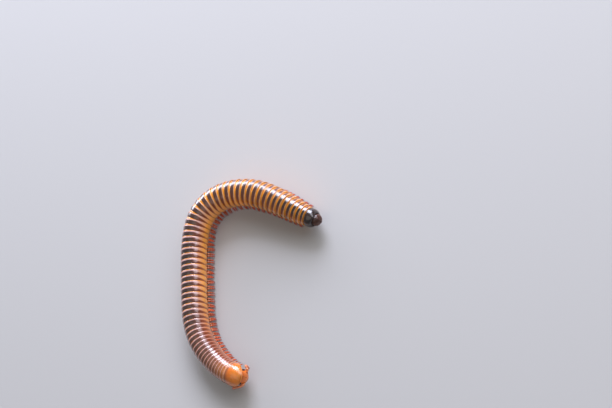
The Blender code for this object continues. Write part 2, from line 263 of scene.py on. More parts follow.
def link(tree, made, links):
    """Links outputs, or the first live output of nodes, into a node's inputs."""
    for key, source in links.items():
        if isinstance(source, bpy.types.Node):
            source = next(output for output in source.outputs if output.enabled)
        tree.links.new(source, made.inputs[key])


def fill_ramp(ramp, codes):
    """Sets the stops of a colour ramp from places and sRGB hex colours."""
    for stop, (position, code) in zip(ramp.elements, (codes[0], codes[-1])):
        stop.position, stop.color = position, linear(code)
    for position, code in codes[1:-1]:
        ramp.elements.new(position).color = linear(code)


def new_material(name):
    made = bpy.data.materials.new(name)
    made.use_nodes = True
    return made, made.node_tree, made.node_tree.nodes["Principled BSDF"]


# Ring chitin: chalk-hardened cuticle, grown smooth and waxed by the animal. Dark
# brown on the back, with a bone pale hind edge that widens down the flank into
# orange, and an orange front part. It gives the eye a wet, soft-edged gloss.
BAND_WANDER_MM = 0.9
CUTICLE_GRAIN_MM = 0.16
FLECK_MM = 0.45
CLOUD_MM = 5.0
SEAM_SHARE = 0.150
# The dark band's end, as a share of the ring, on the back and low on the flank. It
# moves back behind the head, there most on the flank, and on the tail's rings.
BACK_BAND_END, FLANK_BAND_END = 0.79, 0.34
FORE_FLANK_SHIFT, FORE_SHIFT, HINDER_SHIFT = 0.34, 0.05, 0.13
HINDER_START_SHIFT = -0.16
EDGE_WANDER, RING_WANDER = 0.10, 0.02
# The band's strength low on the flank, and the painted shade low on the flank behind the head
FLANK_BAND, FORE_FLANK_BAND, FORE_FLANK_PAINTED_SHADE = 0.57, -0.28, -0.32
FLECK_AMOUNT = 0.20
# Dark bands from head to tail: orange brown right behind the collar plate, then
# umber, warmer on the tail's rings and nearly black by the telson
BAND_CODES = [
    (0.065, "#c27a42"), (0.105, "#8e5d45"), (0.15, "#6c483a"), (0.28, "#47332b"),
    (0.50, "#392c27"), (0.66, "#4d3229"), (0.84, "#4a2d24"), (0.97, "#2a1a16"),
]


def ring_chitin():
    material, tree, shader = new_material("ring_chitin_waxed")
    share, down, body, tone, pore = (
        node(tree, "Attribute", {"attribute_name": mark}).outputs["Fac"]
        for mark in ("ring_share", "back_to_belly", "head_to_tail", "ring_tone", "pore_distance")
    )
    spot = node(tree, "TexCoord").outputs["Object"]
    wander, cloud, fleck, grain = (
        node(tree, "TexNoise", {"Scale": 1 / (size * MM), "Detail": detail}, {"Vector": spot})
        for size, detail in (
            (BAND_WANDER_MM, 3.0), (CLOUD_MM, 2.0), (FLECK_MM, 5.0), (CUTICLE_GRAIN_MM, 4.0),
        )
    )

    # Where the dark band ends: near the hind edge on the back, further forward on the
    # flank. It's broader on the flanks behind the head and narrower on the tail's rings.
    fore = node(tree, "MapRange", {
        "interpolation_type": "SMOOTHSTEP", "From Min": 0.17, "From Max": 0.36,
        "To Min": 1.0, "To Max": 0.0,
    }, {"Value": body})
    hinder = node(tree, "MapRange", {
        "interpolation_type": "SMOOTHSTEP", "From Min": 0.54, "From Max": 0.68,
    }, {"Value": body})
    low_end = node(tree, "Math", {
        "operation": "MULTIPLY_ADD", 1: FORE_FLANK_SHIFT, 2: FLANK_BAND_END,
    }, {0: fore})
    wedge = node(tree, "MapRange", {
        "From Min": 0.16, "From Max": 0.50, "To Min": BACK_BAND_END,
    }, {"Value": down, "To Max": low_end})
    broad = node(tree, "Math", {"operation": "MULTIPLY_ADD", 1: FORE_SHIFT}, {
        0: fore, 2: wedge,
    })
    moved = node(tree, "Math", {"operation": "MULTIPLY_ADD", 1: HINDER_SHIFT}, {
        0: hinder, 2: broad,
    })
    wavy = node(tree, "Math", {
        "operation": "MULTIPLY_ADD", 1: EDGE_WANDER, 2: -EDGE_WANDER / 2,
    }, {0: wander})
    uneven = node(tree, "Math", {"operation": "MULTIPLY_ADD", 1: RING_WANDER}, {
        0: tone, 2: wavy,
    })
    edge = node(tree, "Math", {"operation": "ADD"}, {0: moved, 1: uneven})
    past = node(tree, "Math", {"operation": "SUBTRACT"}, {0: share, 1: edge})
    behind = node(tree, "MapRange", {
        "interpolation_type": "SMOOTHSTEP", "From Min": -0.05, "From Max": 0.05,
    }, {"Value": past})
    bare = node(tree, "Math", {"operation": "MULTIPLY_ADD", 1: HINDER_START_SHIFT}, {
        0: hinder, 2: share,
    })
    ahead = node(tree, "MapRange", {
        "interpolation_type": "SMOOTHSTEP", "From Min": 0.10, "From Max": 0.19,
    }, {"Value": bare})
    outside = node(tree, "Math", {"operation": "SUBTRACT", 0: 1.0}, {1: behind})
    banded = node(tree, "Math", {"operation": "MULTIPLY"}, {0: ahead, 1: outside})
    low_fade = node(tree, "Math", {
        "operation": "MULTIPLY_ADD", 1: FORE_FLANK_BAND, 2: FLANK_BAND,
    }, {0: fore})
    fade = node(tree, "MapRange", {
        "interpolation_type": "SMOOTHSTEP", "From Min": 0.38, "From Max": 0.60, "To Min": 1.0,
    }, {"Value": down, "To Max": low_fade})
    dark = node(tree, "Math", {"operation": "MULTIPLY"}, {0: banded, 1: fade})

    # The band reddens down the flank
    bands = node(tree, "ValToRGB", {}, {"Fac": body})
    fill_ramp(bands.color_ramp, BAND_CODES)
    redden = node(tree, "MapRange", {"From Min": 0.10, "From Max": 0.40}, {"Value": down})
    band = node(tree, "Mix", {"data_type": "RGBA", 7: linear("#8f4426")}, {0: redden, 6: bands})

    # The hind edge, bone pale on the back and orange on the flank, and the part ahead of
    # the band. Both are pinker on the flank behind the head, and duller there as painted
    # shade. The belly is pale.
    pale = node(tree, "MapRange", {"From Min": 0.25, "From Max": 0.47}, {"Value": down})
    bone = node(tree, "Mix", {
        "data_type": "RGBA", 6: linear("#c49a92"), 7: linear("#e3a672"),
    }, {0: hinder})
    flank = node(tree, "Mix", {
        "data_type": "RGBA", 6: linear("#fba84e"), 7: linear("#dc7c4c"),
    }, {0: fore})
    rim = node(tree, "Mix", {"data_type": "RGBA"}, {0: pale, 6: bone, 7: flank})
    front = node(tree, "MapRange", {"From Min": 0.36, "From Max": 0.60}, {"Value": share})
    ahead_part = node(tree, "Mix", {
        "data_type": "RGBA", 6: linear("#ea983f"), 7: linear("#d28a66"),
    }, {0: fore})
    light = node(tree, "Mix", {"data_type": "RGBA"}, {0: front, 6: ahead_part, 7: rim})
    under = node(tree, "MapRange", {"From Min": 0.62, "From Max": 0.80}, {"Value": down})
    belly = node(tree, "Mix", {"data_type": "RGBA", 7: linear("#c99663")}, {0: under, 6: light})
    colour = node(tree, "Mix", {"data_type": "RGBA"}, {0: dark, 6: belly, 7: band})

    # Clouds and flecks, the darker seam, painted shade low on the flank behind the head, and pores
    clouded = node(tree, "MapRange", {
        "From Min": 0.3, "From Max": 0.7, "To Min": 0.76, "To Max": 1.04,
    }, {"Value": cloud})
    flecked = node(tree, "Math", {"operation": "MULTIPLY_ADD", 1: FLECK_AMOUNT}, {
        0: fleck, 2: clouded,
    })
    off_seam = node(tree, "Math", {"operation": "SUBTRACT", 1: SEAM_SHARE}, {0: share})
    near_seam = node(tree, "Math", {"operation": "ABSOLUTE"}, {0: off_seam})
    seamed = node(tree, "MapRange", {
        "From Min": 0.008, "From Max": 0.026, "To Min": 0.72, "To Max": 1.0,
    }, {"Value": near_seam})
    # Painted shade: the colour is darkened low on the flank behind the head
    low_painted_shade = node(tree, "Math", {
        "operation": "MULTIPLY_ADD", 1: FORE_FLANK_PAINTED_SHADE, 2: 1.0,
    }, {0: fore})
    painted_flank_shade = node(tree, "MapRange", {
        "interpolation_type": "SMOOTHSTEP", "From Min": 0.22, "From Max": 0.46, "To Min": 1.0,
    }, {"Value": down, "To Max": low_painted_shade})
    lined = node(tree, "Math", {"operation": "MULTIPLY"}, {0: flecked, 1: seamed})
    value = node(tree, "Math", {"operation": "MULTIPLY"}, {0: lined, 1: painted_flank_shade})
    toned = node(tree, "HueSaturation", {"Saturation": 1.05}, {"Value": value, "Color": colour})
    hole = node(tree, "MapRange", {
        "From Min": 0.07, "From Max": 0.12, "To Min": 1.0, "To Max": 0.0,
    }, {"Value": pore})
    shown = node(tree, "Mix", {"data_type": "RGBA", 7: linear("#140c0a")}, {0: hole, 6: toned})
    rough = node(tree, "MapRange", {"To Min": 0.18, "To Max": 0.32}, {"Value": grain})
    relief = node(tree, "Bump", {"Strength": 0.25, "Distance": 0.02 * MM}, {"Height": grain})
    link(tree, shader, {"Base Color": shown, "Roughness": rough, "Normal": relief})
    fill(shader, {"IOR": 1.54, "Coat Weight": 0.95, "Coat Roughness": 0.18})
    return material


ring_finish = ring_chitin()
for first, after in zip(LENGTH_STARTS, LENGTH_STARTS[1:]):
    name = f"rings_{first:02d}_{after - 1:02d}"
    skins = [ring_skin(ring) for ring in range(first, after)]
    piece(f"{name}_cuticle", skins, ring_finish, "ring_cuticle", name)


# Legs
# One pair on each of rings 2 to 4 and two pairs on the rest, of six chitin tubes
# and a claw each, hinged by soft skin under the belly. They stand in slow waves, a
# few lifted, with the feet of a ring's two pairs drawn together, as at rest.

SINGLE_PAIR_RINGS = 4
LAST_LEG_RING = 56
ROOT_SHARES, HIP_SHARES = (0.34, 0.67), (0.26, 0.75)
FULL_LEG_PITCH, LEAST_LEG_SCALE = 1.7, 0.72
ROOT_SIDE, ROOT_DEPTH = 0.13, 0.52
HIP_SIDE, HIP_DROP = 0.34, 0.25
KNEE_SHARE, KNEE_HEIGHT, CLAW_TIP_HEIGHT = 0.74, 1.95, 0.02
# Where the links end: the share of the way from hip to knee and millimetres up from
# it, the rise at the knee, then shares from knee to foot and millimetres outward
THIGH_END, KNEE_RISE = (0.45, 0.10), 0.04
SHIN_ENDS = ((0.34, 0.13), (0.62, 0.12), (0.91, 0.03))
LEFT_REACH = [(0, 1.06), (52, 1.05), (58, 0.86), (74, 0.86), (82, 1.04), (104, 1.06)]
RIGHT_REACH = [(0, 1.10), (52, 1.12), (104, 1.10)]
WAVE_PAIRS = 13
WAVE_SWING, WAVE_LIFT, LIFTED_PAST = 0.5, 0.6, 0.6
FOOT_GATHER = 0.55
LEG_SIDES, LEG_TONES = 10, 50
# Half widths of hip, thigh, knee piece, shin, ankle piece, foot and claw
JOINT_HALVES = (0.31, 0.285, 0.265, 0.230, 0.190, 0.140, 0.045)
SEGMENT_LOOPS = [(0.03, 0.76), (0.12, 0.93), (0.45, 1.00), (0.84, 1.06), (0.97, 1.00)]
FOOT_LOOPS = [(0.03, 0.80), (0.12, 0.96), (0.45, 0.90), (0.80, 0.72), (0.97, 0.55)]
CLAW_LOOPS = [(0.02, 1.05), (0.35, 0.85), (0.70, 0.55), (1.00, 0.15)]
JOINT_SKIN = (0.84, 0.97)
# Bristles on the inner side: the link that each stands on, and its share along it
BRISTLE_PLACES = ((2, 0.85), (3, 0.85), (4, 0.45), (4, 0.90), (5, 0.30), (5, 0.60), (5, 0.90))
BRISTLE_PROFILE, BRISTLE_SIDES = [(0.0, 0.013), (0.20, 0.003)], 3
BRISTLE_LEAN, BRISTLE_ROOT = 1.4, 0.8
# A direction that no hair lies in, to find its sides from
ASKEW = (0.31, 0.59, 0.74)


def tube_skin(joints, halves, loops, across, sides, tone):
    """A chain of swelling segments from joint to joint, in metres, as one skin."""
    angles = np.arange(sides) * 2 * math.pi / sides
    lengths = np.linalg.norm(np.diff(joints, axis=0), axis=1)
    starts = np.concatenate([[0.0], np.cumsum(lengths)])
    rows, travelled, seams_and_shade = [], [], []
    for index, (start, end) in enumerate(zip(joints, joints[1:])):
        way = (end - start) / lengths[index]
        first = across - way * across.dot(way)
        first /= np.linalg.norm(first)
        circle = np.outer(np.cos(angles), first) + np.outer(np.sin(angles), np.cross(way, first))
        for share, half in loops[index]:
            reach = half * halves[index] * MM
            rows.append(start + (end - start) * share + reach * circle)
            travelled.append((starts[index] + share * lengths[index]) / starts[-1])
            seams_and_shade.append(soft_step(abs(2 * share - 1), *JOINT_SKIN))
    marks = {"run": np.array(travelled)[:, None], "seam_and_shade": np.array(seams_and_shade)[:, None], "tone": tone}
    return loft(rows, marks)


def spokes(way, angles, near=ASKEW):
    """Unit ways square to a unit way, at angles around it from one square to another way."""
    first = np.cross(way, near)
    first /= np.linalg.norm(first)
    return np.outer(np.cos(angles), first) + np.outer(np.sin(angles), np.cross(way, first))


def turned_skin(start, way, profile, sides, seam_and_shade=0.0):
    """A turned form: its start and way in metres, its profile of travels and half widths in mm."""
    way = np.array(way, float) / np.linalg.norm(way)
    circle = spokes(way, np.arange(sides) * 2 * math.pi / sides)
    rows = [start + (way * travel + circle * reach) * MM for travel, reach in profile]
    run = np.linspace(0.0, 1.0, len(rows))[:, None]
    return loft(rows, {"run": run, "seam_and_shade": seam_and_shade, "tone": 0.0})


def leg_skins(number, root_at, hip_at, ring_middle, pitch, side):
    """One leg with its bristles, through the root, hip, knee and foot of its CAD leg."""
    half = along(BODY_RADIUS, hip_at)
    phase = 2 * math.pi * number / WAVE_PAIRS
    scale = max(LEAST_LEG_SCALE, min(1.0, pitch / FULL_LEG_PITCH))
    swing = WAVE_SWING * scale * math.sin(phase) + FOOT_GATHER * (ring_middle - hip_at)
    lift = WAVE_LIFT * max(0.0, -math.cos(phase) - LIFTED_PAST) / (1 - LIFTED_PAST)
    reach = half * along(LEFT_REACH if side > 0 else RIGHT_REACH, hip_at)
    belly = -half * (BELLY_FLAT + (1 - BELLY_FLAT) * (1 - BELLY_PRESS))
    root = place(station(root_at), (side * ROOT_SIDE * half, 0.0, -ROOT_DEPTH * half))
    hip = place(station(hip_at), (side * HIP_SIDE * half, 0.0, belly - HIP_DROP))
    mid = station(hip_at + swing / 2, KNEE_HEIGHT + lift, rolled=False)
    knee = place(mid, (side * KNEE_SHARE * reach, 0.0, 0.0))
    low = station(hip_at + swing, lift, rolled=False)
    foot = place(low, (side * reach, 0.0, CLAW_TIP_HEIGHT))
    out = side * mid[:3, 0] * MM
    up = np.array((0.0, 0.0, MM))
    joints = np.array([
        root,
        hip,
        hip + THIGH_END[0] * (knee - hip) + THIGH_END[1] * up,
        knee + KNEE_RISE * up,
        *(knee + share * (foot - knee) + bulge * out for share, bulge in SHIN_ENDS),
        foot,
    ])
    halves = [joint_half * scale for joint_half in JOINT_HALVES]
    loops = [SEGMENT_LOOPS] * 5 + [FOOT_LOOPS, CLAW_LOOPS]
    skins = [tube_skin(joints, halves, loops, mid[:3, 1], LEG_SIDES, tones[number % LEG_TONES])]
    for segment, share in BRISTLE_PLACES:
        start, end = joints[segment], joints[segment + 1]
        lean = BRISTLE_LEAN * (end - start) / np.linalg.norm(end - start) - out / MM
        root = start + (end - start) * share - BRISTLE_ROOT * halves[segment] * out
        skins.append(turned_skin(root, lean, BRISTLE_PROFILE, BRISTLE_SIDES))
    return skins


# Leg chitin: thin, less chalky cuticle over the muscle, orange by the hip and rust
# red by the foot, with paler skin at each joint and a claw of dark horn. It gives the
# eye a satin sheen. Other parts have the same cuticle in other colours, some waxed.
# The clouds in it are as wide as this many of its grains.
CLOUD_GRAINS = 9


def toned_chitin(name, codes, seam_and_shade_code, roughness, grain_mm, wax=0.0):
    """Cuticle whose colour runs along a piece, with another colour at its joints, sutures and
    hairs, and as painted shade in its grooves and hollows.
    """
    material, tree, shader = new_material(name)
    run, seam_and_shade, tone = (
        node(tree, "Attribute", {"attribute_name": mark}).outputs["Fac"]
        for mark in ("run", "seam_and_shade", "tone")
    )
    spot = node(tree, "TexCoord").outputs["Object"]
    grain, cloud = (
        node(tree, "TexNoise", {"Scale": 1 / (size * MM), "Detail": detail}, {"Vector": spot})
        for size, detail in ((grain_mm, 3.0), (CLOUD_GRAINS * grain_mm, 2.0))
    )
    length = node(tree, "ValToRGB", {}, {"Fac": run})
    fill_ramp(length.color_ramp, codes)
    # The second colour: pale skin at leg and antenna joints, dark sutures and hairs, and painted
    # shade in grooves and hollows
    part = node(tree, "Math", {"operation": "MULTIPLY", 1: 0.75}, {0: seam_and_shade})
    seamed = node(tree, "Mix", {"data_type": "RGBA", 7: linear(seam_and_shade_code)}, {0: part, 6: length})
    clouded = node(tree, "MapRange", {
        "From Min": 0.3, "From Max": 0.7, "To Min": 0.88, "To Max": 1.12,
    }, {"Value": cloud})
    bright = node(tree, "Math", {"operation": "MULTIPLY_ADD", 1: 0.10}, {0: tone, 2: clouded})
    toned = node(tree, "HueSaturation", {}, {"Value": bright, "Color": seamed})
    rough = node(tree, "MapRange", {"To Min": roughness - 0.06, "To Max": roughness + 0.08}, {
        "Value": grain,
    })
    relief = node(tree, "Bump", {"Strength": 0.3, "Distance": 0.12 * grain_mm * MM}, {
        "Height": grain,
    })
    link(tree, shader, {"Base Color": toned, "Roughness": rough, "Normal": relief})
    fill(shader, {
        "IOR": 1.54, "Coat Weight": wax, "Coat Roughness": 0.16, "Subsurface Weight": 0.10,
        "Subsurface Radius": (0.6, 0.2, 0.1), "Subsurface Scale": 0.4 * MM,
    })
    return material


LEG_CODES = [
    (0.10, "#cf8036"), (0.35, "#d4762a"), (0.62, "#cc5c26"), (0.86, "#c24628"),
    (0.955, "#ac3428"), (0.975, "#2a120c"),
]
leg_finish = toned_chitin("leg_chitin_satin", LEG_CODES, "#e0a070", 0.30, 0.09)
leg_pairs = []
for ring in range(FIRST_RING, LAST_LEG_RING + 1):
    front, pitch = EDGES[ring], EDGES[ring + 1] - EDGES[ring]
    shares = list(zip(ROOT_SHARES, HIP_SHARES)) if ring > SINGLE_PAIR_RINGS else [(0.5, 0.5)]
    for root, hip in shares:
        places = (front + root * pitch, front + hip * pitch, front + pitch / 2)
        leg_pairs.append((ring, len(leg_pairs), *places, pitch))
for first, after in zip(LENGTH_STARTS, LENGTH_STARTS[1:]):
    skins = []
    for pair in leg_pairs:
        if first <= pair[0] < after:
            skins += leg_skins(*pair[1:], 1) + leg_skins(*pair[1:], -1)
    name = f"rings_{first:02d}_{after - 1:02d}"
    piece(f"{name}_legs", skins, leg_finish, "leg_cuticle", name)


# Head capsule
# One thick, smooth, domed shell of golden brown chitin that faces forward and
# down, with a seam from the crown, a round socket for each antenna, and a lip
# with three small teeth over the mouth. Dark skin joins it to the body behind.

HEAD_AT, HEAD_HEIGHT = 3.10, 4.20
HEAD_TILT = 20.0
HEAD_HALF = np.array((2.30, 1.85, 2.45))
CHIN_TAPER = 0.22
HEAD_BACK_ANGLE = 150.0
FACE_COLUMNS, FACE_ROWS = 240, 150
CROWN_SEAM_HALF, CROWN_SEAM_DEPTH, CROWN_SEAM_FADE = 0.045, 0.035, (0.5, 1.1)
ANTENNA_ROOT = np.array((1.45, -0.93, 0.55))
SOCKET_WALL, SOCKET_DEPTH = (0.33, 0.45), 0.42
SOCKET_RIM, SOCKET_RIM_HALF, SOCKET_RIM_HEIGHT = 0.52, 0.09, 0.08
EYE_MIDDLE, EYE_SPREAD = np.array((1.76, -0.20, 1.08)), np.array((0.38, 0.53))
EYE_SEAT_HALF, EYE_SEAT_DEPTH = 0.09, 0.06
CHEEK_MIDDLE, CHEEK_HALF = np.array((1.86, -0.20, -1.10)), np.array((0.62, 0.80, 1.20))
CHEEK_SEAT, CHEEK_SEAT_DEPTH = (0.88, 1.10), 0.30
# The lip's edge, in degrees from the face's middle, with a notch that holds three teeth
LIP_ANGLE, LIP_NOTCH, LIP_TOOTH = 66.0, 6.0, 4.0
NOTCH_HALF, TOOTH_PITCH = 0.33, 0.22
MOUTH_SIDES, MOUTH_DEPTH = (1.0, 1.3), 0.55
LIP_FOLD_HEIGHT, LIP_FOLD_HALF, LIP_FOLD_SIDES, LIP_FOLD_DEPTH = -1.36, 0.045, (0.8, 1.2), 0.03
LIP_SWELL = 0.10
PIT_SIDES, PIT_HEIGHT, PIT_HALF, PIT_DEPTH = (0.38, 0.86), -1.52, 0.075, 0.05


def lobe_skin(axes, centre, half, pole, top, last, columns, rows, mould):
    """An ellipsoid seen from its pole, down to an angle, pushed in or out by a function."""
    pole, top, half = (np.array(values, float) for values in (pole, top, half))
    angles = np.arange(columns)[:, None] * 2 * math.pi / columns
    turns = np.radians(np.linspace(0.8, last, rows))[:, None, None]
    around = np.cos(angles) * top + np.sin(angles) * np.cross(top, pole)
    ways = np.cos(turns) * pole + np.sin(turns) * around
    normals = ways / half
    normals /= np.linalg.norm(normals, axis=-1, keepdims=True)
    points = ways * half
    push, seam_and_shade = mould(points, turns[..., 0])
    run = (points[..., 2] / half[2] + 1) / 2
    points = np.array(centre) + points + normals * push[..., None]
    return loft(place(axes, points), {"run": run, "seam_and_shade": np.clip(seam_and_shade, 0.0, 1.0), "tone": 0.0})


def groove(distance, half):
    """One in the middle of a groove, falling to none beside it."""
    return np.exp(-(np.asarray(distance) / half) ** 2)


def face_mould(points, turns):
    """Pushes of the face at the crown suture, sockets, lip, mouth, pits and seats, and its colour:
    darker along the crown suture, and painted shade in the sockets, lip fold, mouth, pits and
    seats.
    """
    x, y, z = points[..., 0], points[..., 1], points[..., 2]
    aside = np.stack([abs(x), y, z], -1)
    crown = groove(x, CROWN_SEAM_HALF) * soft_step(z, *CROWN_SEAM_FADE)
    way = ANTENNA_ROOT / HEAD_HALF ** 2
    way /= np.linalg.norm(way)
    off = aside - ANTENNA_ROOT
    socket = np.linalg.norm(off - (off @ way)[..., None] * way, axis=-1)
    well = (1 - soft_step(socket, *SOCKET_WALL)) * (y < 0)
    eye = np.hypot((y - EYE_MIDDLE[1]) / EYE_SPREAD[0], (z - EYE_MIDDLE[2]) / EYE_SPREAD[1])
    cheek = np.linalg.norm((aside - CHEEK_MIDDLE) / CHEEK_HALF, axis=-1)
    teeth = (np.cos(2 * math.pi * x / TOOTH_PITCH) * 0.5 + 0.5) * (abs(x) < NOTCH_HALF)
    notch = 1 - soft_step(abs(x), NOTCH_HALF, NOTCH_HALF + 0.07)
    lip = LIP_ANGLE - LIP_NOTCH * notch + LIP_TOOTH * teeth
    under = (z < 0) * (1 - soft_step(abs(x), *MOUTH_SIDES))
    mouth = soft_step(np.degrees(turns), lip - 1.0, lip + 2.2) * under
    front = soft_step(-y, 0.2, 0.8)
    fold = groove(z - LIP_FOLD_HEIGHT - 0.10 * x * x, LIP_FOLD_HALF)
    fold = fold * (1 - soft_step(abs(x), *LIP_FOLD_SIDES)) * front
    swell = groove(np.hypot(x / 1.3, (z + 1.2) / 0.6), 1.0) * front * (1 - mouth)
    pits = np.zeros_like(x)
    for side in PIT_SIDES:
        pits += groove(np.hypot(abs(x) - side, z - PIT_HEIGHT), PIT_HALF) * front
    push = SOCKET_RIM_HEIGHT * groove(socket - SOCKET_RIM, SOCKET_RIM_HALF) * (y < 0)
    push -= CROWN_SEAM_DEPTH * crown + SOCKET_DEPTH * well
    push -= EYE_SEAT_DEPTH * groove(eye - 1.04, EYE_SEAT_HALF)
    push -= CHEEK_SEAT_DEPTH * (1 - soft_step(cheek, *CHEEK_SEAT))
    push -= MOUTH_DEPTH * mouth + LIP_FOLD_DEPTH * fold
    push += LIP_SWELL * swell - PIT_DEPTH * pits
    # Painted shade in the grooves round the eye patches and cheek plates
    seats = groove(eye - 1.06, 0.12) + groove(cheek - 1.06, 0.07)
    return push, crown + fold + pits + well + seats + mouth


def taper(points):
    """The head's own points, drawn in towards the chin."""
    low = np.maximum(0.0, -points[..., 2] / HEAD_HALF[2])
    narrowed = points[..., 0] * (1 - CHIN_TAPER * low * low)
    return np.stack([narrowed, points[..., 1], points[..., 2]], -1)


tilt = np.array(Matrix.Rotation(math.radians(HEAD_TILT), 4, "X"))
head_axes = station(HEAD_AT, HEAD_HEIGHT, rolled=False) @ tilt
# Head chitin: thick golden brown cuticle that digging polishes, with small clear lights
HEAD_CODES = [
    (0.10, "#de984c"), (0.30, "#ea8a32"), (0.55, "#ee8026"), (0.80, "#ea7820"), (0.97, "#d86c22"),
]
# Its dark second colour marks the crown suture and the lip hairs, and is painted shade in the
# hollows and grooves of the face, cheeks and lip plate
head_finish = toned_chitin("head_chitin_polished", HEAD_CODES, "#4a2010", 0.24, 0.15, 0.4)
points, faces, marks = lobe_skin(
    np.eye(4), (0, 0, 0), HEAD_HALF, (0, -1, 0), (0, 0, 1), HEAD_BACK_ANGLE,
    FACE_COLUMNS, FACE_ROWS, face_mould,
)
skins = [(place(head_axes, taper(points / MM)), faces, marks)]
LIP_HAIRS, LIP_HAIR_SPREAD, LIP_HAIR_ANGLE = 17, 32.0, 58.0
LIP_HAIR_PROFILE, LIP_HAIR_SIDES = [(0.0, 0.016), (0.32, 0.003)], 4
for turn in np.radians(np.linspace(-LIP_HAIR_SPREAD, LIP_HAIR_SPREAD, LIP_HAIRS)):
    way = np.array((math.sin(turn), -math.cos(math.radians(LIP_HAIR_ANGLE)), -math.cos(turn)))
    root = place(head_axes, taper(way * (0.85, 1.0, 0.85) * HEAD_HALF))
    lean = head_axes[:3, :3] @ np.array((0.3 * math.sin(turn), -0.35, -1.0))
    skins.append(turned_skin(root, lean, LIP_HAIR_PROFILE, LIP_HAIR_SIDES, 1.0))
piece("head_capsule", skins, head_finish, "head_cuticle", "head")


# Eyes
# An oval patch of 23 small black lenses on each side of the crown, grown in the
# head's own cuticle and packed in rows.

# The patch from its middle to its edge: shares of its spread, and its lift off the head
PATCH_PROFILE = (
    (0.02, 0.03), (0.3, 0.03), (0.6, 0.03), (0.8, 0.03), (0.92, 0.02), (0.98, 0.0), (1.02, -0.06),
    (1.04, -0.2),
)
PATCH_COLUMNS, PATCH_BORDER = 48, (0.05, 0.04)
LENS_PITCH, LENS_ROW_PITCH, LENS_TOP, LENS_SIDES = 0.155, 0.87, 0.075, 12
LENS_PROFILE = [(0.0, 0.01), (0.006, 0.03), (0.022, 0.054), (0.045, 0.069), (0.075, 0.076)]
# Eye lenses: clear, hard cuticle over black pigment, each with a pinpoint light
eye_finish, _, eye_shader = new_material("eye_lens_black_gloss")
fill(eye_shader, {"Base Color": linear("#0b0908"), "Roughness": 0.08, "IOR": 1.55})


def on_head(side, y, z, lift):
    """A place on one side of the head's shell, lifted off it, and the way out there."""
    x = HEAD_HALF[0] * np.sqrt(1 - (y / HEAD_HALF[1]) ** 2 - (z / HEAD_HALF[2]) ** 2)
    point = np.stack(np.broadcast_arrays(side * x, y, z), -1)
    way = point / HEAD_HALF ** 2
    way /= np.linalg.norm(way, axis=-1, keepdims=True)
    return point + way * np.asarray(lift)[..., None], way


for side, word in ((1, "left"), (-1, "right")):
    angles = np.arange(PATCH_COLUMNS) * 2 * math.pi / PATCH_COLUMNS
    reaches, lifts = np.array(PATCH_PROFILE).T[..., None]
    spread_y = EYE_MIDDLE[1] + side * reaches * np.sin(angles) * EYE_SPREAD[0]
    spread_z = EYE_MIDDLE[2] + reaches * np.cos(angles) * EYE_SPREAD[1]
    base, _ = on_head(side, spread_y, spread_z, np.broadcast_to(lifts, spread_y.shape))
    lenses = [loft(place(head_axes, base), {"run": 0.0, "seam_and_shade": 0.0, "tone": 0.0})]
    for row in range(-4, 5):
        for column in range(-3, 4):
            y = (column + 0.5 * (row % 2)) * LENS_PITCH
            z = row * LENS_PITCH * LENS_ROW_PITCH
            if np.hypot(*((y, z) / (EYE_SPREAD - PATCH_BORDER))) > 1:
                continue
            middle, way = on_head(side, EYE_MIDDLE[1] + y, EYE_MIDDLE[2] + z, LENS_TOP)
            inward = head_axes[:3, :3] @ -way
            lenses.append(turned_skin(place(head_axes, middle), inward, LENS_PROFILE, LENS_SIDES))
    piece(f"eye_{word}_lenses", lenses, eye_finish, "eye_lens", f"eye_{word}")


# Antennae
# Seven hairy, club-shaped links on each side, bent like an elbow, with four
# pale feeling cones at the tip. Each link turns in the end of the one before.

LEFT_ANTENNA = [
    (1.45, -0.93, 0.55), (1.95, -1.42, 0.72), (2.58, -1.10, 0.82), (3.08, -0.45, 0.70),
    (3.32, -0.22, -0.05), (3.27, -0.42, -0.78), (3.08, -0.68, -1.40), (2.85, -0.92, -1.95),
]
RIGHT_ANTENNA = [
    (-1.45, -0.93, 0.55), (-1.95, -1.42, 0.72), (-2.50, -0.98, 0.72), (-2.92, -0.25, 0.45),
    (-3.20, 0.50, 0.05), (-3.45, 1.15, -0.45), (-3.62, 1.70, -1.00), (-3.65, 2.10, -1.50),
]
LINK_HALVES = (0.31, 0.32, 0.33, 0.35, 0.37, 0.38, 0.31)
LINK_LOOPS = [
    (0.02, 0.66), (0.08, 0.70), (0.25, 0.80), (0.50, 0.92), (0.74, 1.04), (0.88, 1.06),
    (0.95, 0.98), (0.99, 0.84),
]
TIP_LOOPS = [(0.02, 0.80), (0.15, 0.95), (0.45, 1.00), (0.75, 0.90), (0.92, 0.72), (1.00, 0.50)]
LINK_SIDES = 20
CONES, CONE_SPREAD, CONE_SIDES = 4, 0.055, 8
CONE_PROFILE = [(-0.03, 0.045), (0.05, 0.04), (0.09, 0.015)]
HAIRS_EACH, HAIR_PROFILE, HAIR_SIDES = 16, [(0.0, 0.011), (0.22, 0.002)], 3
HAIR_ROOTS, HAIR_DEPTH, HAIR_LEAN = (0.2, 0.92), 0.85, 0.8
# Antenna chitin: thin cuticle, paler and pinker than the head's, with a hairy satin sheen
ANTENNA_CODES = [
    (0.0, "#dc7834"), (0.4, "#e4885a"), (0.8, "#de8464"), (0.97, "#b8583e"), (1.0, "#e0b088"),
]
antenna_finish = toned_chitin("antenna_chitin_satin", ANTENNA_CODES, "#dc9c66", 0.30, 0.09, 0.4)
hair_turns = np.random.default_rng(7)


def antenna_hairs(joints, halves):
    """Fine stiff hairs that stand off the links of an antenna and lean to its tip."""
    hairs = []
    for start, end, half in zip(joints, joints[1:], halves):
        way = (end - start) / np.linalg.norm(end - start)
        shares = hair_turns.uniform(*HAIR_ROOTS, HAIRS_EACH)
        turns = hair_turns.uniform(0.0, 2 * math.pi, HAIRS_EACH)
        for share, out in zip(shares, spokes(way, turns)):
            root = start + (end - start) * share + out * half * HAIR_DEPTH * MM
            hairs.append(turned_skin(root, out + HAIR_LEAN * way, HAIR_PROFILE, HAIR_SIDES))
    return hairs


